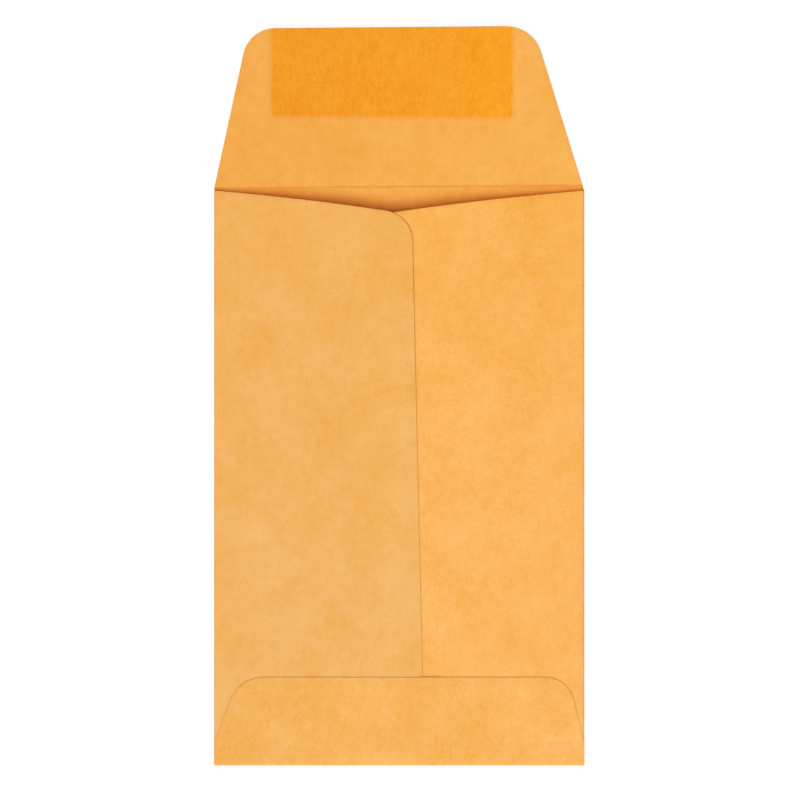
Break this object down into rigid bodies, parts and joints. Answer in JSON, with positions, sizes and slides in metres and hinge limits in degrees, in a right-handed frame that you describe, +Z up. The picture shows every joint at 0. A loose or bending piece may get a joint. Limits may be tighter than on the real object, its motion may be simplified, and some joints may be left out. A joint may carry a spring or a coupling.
{
  "type": "paper envelope",
  "caption": "Small open-end kraft envelope folded from one sheet, lying seam side up with its gummed flap open.",
  "frame": {"origin": "under the middle of the overall length and width, on the face that the envelope lies on", "axes": "+X to the right across the width, +Y along the length from the bottom fold to the open flap, +Z up out of the seam side"},
  "size_m": [0.057, 0.1138, 0.0024],
  "materials": {
    "kraft_paper": "matte brown kraft",
    "dried_gum": "thin dried gum, satin",
    "dried_adhesive": "dried adhesive film"
  },
  "bodies": {
    "root": {"folded_sheet": "kraft_paper", "flap_gum": "dried_gum", "seam_glue": "dried_adhesive", "bottom_flap_glue": "dried_adhesive"}
  },
  "joints": []
}
